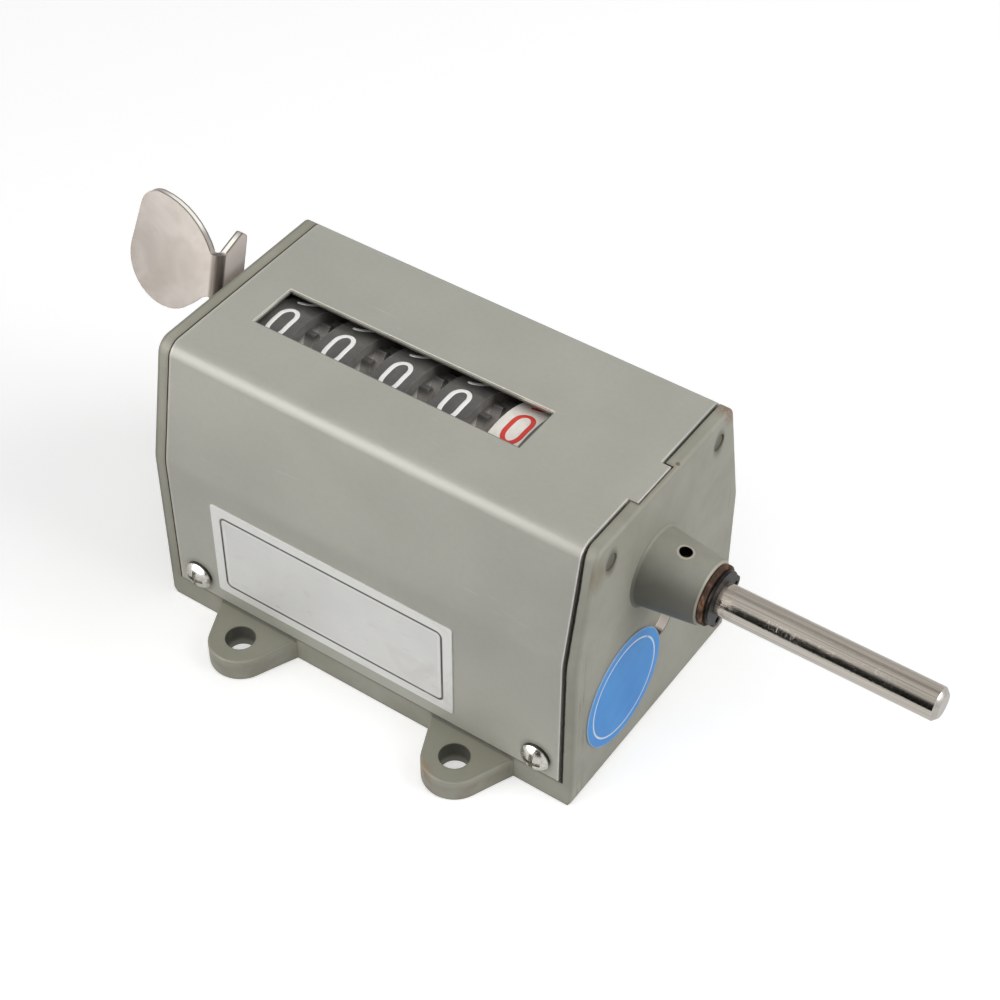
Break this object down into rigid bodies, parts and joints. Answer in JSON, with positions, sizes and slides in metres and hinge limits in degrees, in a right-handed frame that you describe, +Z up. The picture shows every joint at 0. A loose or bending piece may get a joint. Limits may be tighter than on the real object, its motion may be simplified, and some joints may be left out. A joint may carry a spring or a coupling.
{
  "type": "resettable rotary counter",
  "caption": "Shaft-driven revolution counter in a cast frame with a folded sheet cover, number wheels behind a reading window, mounting ears and a turn-key reset.",
  "frame": {"origin": "centre of the rectangle of mounting holes, on the underside of the base", "axes": "+X along the drive shaft towards its free end, -Y is the front with the name plate, +Z up through the reading window"},
  "size_m": [0.1662, 0.074, 0.0694],
  "materials": {
    "cast_grey": "satin paint on a zinc casting, worn brown at the edges",
    "cover_paint": "semi-gloss grey paint on sheet steel",
    "screw_steel": "zinc-plated",
    "plate_metal": "satin",
    "label_blue": "satin film",
    "bronze": "sintered bronze",
    "bright_steel": "ground",
    "dark_steel": "phosphated spring steel",
    "rusty_steel": "rusted",
    "key_nickel": "satin nickel plate",
    "wheel_black": "moulded, with white digits",
    "wheel_white": "moulded, with red digits",
    "pawl_brass": "stamped",
    "pinion_plastic": "moulded"
  },
  "bodies": {
    "case": {"frame": "cast_grey", "cover": "cover_paint", "cover_screws": "screw_steel", "name_plate": "plate_metal", "round_label": "label_blue", "drive_bush": "bronze", "reset_bush": "bronze", "transfer_shaft": "bright_steel", "transfer_clips": "dark_steel", "transfer_spacers": "bright_steel"},
    "drive": {"drive_shaft": "bright_steel", "shaft_ring": "dark_steel", "thrust_washer": "rusty_steel", "thrust_collar": "bright_steel", "collar_pin": "dark_steel", "drive_disc": "bright_steel", "clutch_spring": "dark_steel"},
    "reset": {"wheel_axle": "bright_steel", "axle_collar": "bright_steel", "reset_key": "key_nickel", "key_washer": "dark_steel", "key_nut": "screw_steel"},
    "units": {"units_wheel": "wheel_white", "units_pawl": "pawl_brass"},
    "tens": {"tens_wheel": "wheel_black", "tens_pawl": "pawl_brass"},
    "hundreds": {"hundreds_wheel": "wheel_black", "hundreds_pawl": "pawl_brass"},
    "thousands": {"thousands_wheel": "wheel_black", "thousands_pawl": "pawl_brass"},
    "ten_thousands": {"ten_thousands_wheel": "wheel_black", "ten_thousands_pawl": "pawl_brass"},
    "tens_transfer": {"tens_pinion": "pinion_plastic"},
    "hundreds_transfer": {"hundreds_pinion": "pinion_plastic"},
    "thousands_transfer": {"thousands_pinion": "pinion_plastic"},
    "ten_thousands_transfer": {"ten_thousands_pinion": "pinion_plastic"}
  },
  "joints": [
    {"name": "drive_spin", "type": "hinge", "parent": "case", "child": "drive", "pos_m": [0, -0.0024, 0.0409], "axis": [-1, 0, 0], "continuous": true},
    {"name": "reset_turn", "type": "hinge", "parent": "case", "child": "reset", "pos_m": [0, -0.0024, 0.0409], "axis": [-1, 0, 0], "continuous": true},
    {"name": "units_spin", "type": "hinge", "parent": "case", "child": "units", "pos_m": [0, -0.0024, 0.0409], "axis": [-1, 0, 0], "continuous": true},
    {"name": "tens_spin", "type": "hinge", "parent": "case", "child": "tens", "pos_m": [0, -0.0024, 0.0409], "axis": [-1, 0, 0], "continuous": true},
    {"name": "hundreds_spin", "type": "hinge", "parent": "case", "child": "hundreds", "pos_m": [0, -0.0024, 0.0409], "axis": [-1, 0, 0], "continuous": true},
    {"name": "thousands_spin", "type": "hinge", "parent": "case", "child": "thousands", "pos_m": [0, -0.0024, 0.0409], "axis": [-1, 0, 0], "continuous": true},
    {"name": "ten_thousands_spin", "type": "hinge", "parent": "case", "child": "ten_thousands", "pos_m": [0, -0.0024, 0.0409], "axis": [-1, 0, 0], "continuous": true},
    {"name": "tens_transfer_spin", "type": "hinge", "parent": "case", "child": "tens_transfer", "pos_m": [0, 0.00984, 0.02631], "axis": [-1, 0, 0], "continuous": true},
    {"name": "hundreds_transfer_spin", "type": "hinge", "parent": "case", "child": "hundreds_transfer", "pos_m": [0, 0.00984, 0.02631], "axis": [-1, 0, 0], "continuous": true},
    {"name": "thousands_transfer_spin", "type": "hinge", "parent": "case", "child": "thousands_transfer", "pos_m": [0, 0.00984, 0.02631], "axis": [-1, 0, 0], "continuous": true},
    {"name": "ten_thousands_transfer_spin", "type": "hinge", "parent": "case", "child": "ten_thousands_transfer", "pos_m": [0, 0.00984, 0.02631], "axis": [-1, 0, 0], "continuous": true}
  ],
  "couplings": [
    {"joint": "units_spin", "follows": "drive_spin", "ratio": 1},
    {"joint": "tens_spin", "follows": "drive_spin", "ratio": 0.1},
    {"joint": "hundreds_spin", "follows": "drive_spin", "ratio": 0.01},
    {"joint": "thousands_spin", "follows": "drive_spin", "ratio": 0.001},
    {"joint": "ten_thousands_spin", "follows": "drive_spin", "ratio": 0.0001},
    {"joint": "tens_transfer_spin", "follows": "drive_spin", "ratio": -0.25},
    {"joint": "hundreds_transfer_spin", "follows": "drive_spin", "ratio": -0.025},
    {"joint": "thousands_transfer_spin", "follows": "drive_spin", "ratio": -0.0025},
    {"joint": "ten_thousands_transfer_spin", "follows": "drive_spin", "ratio": -0.00025}
  ]
}
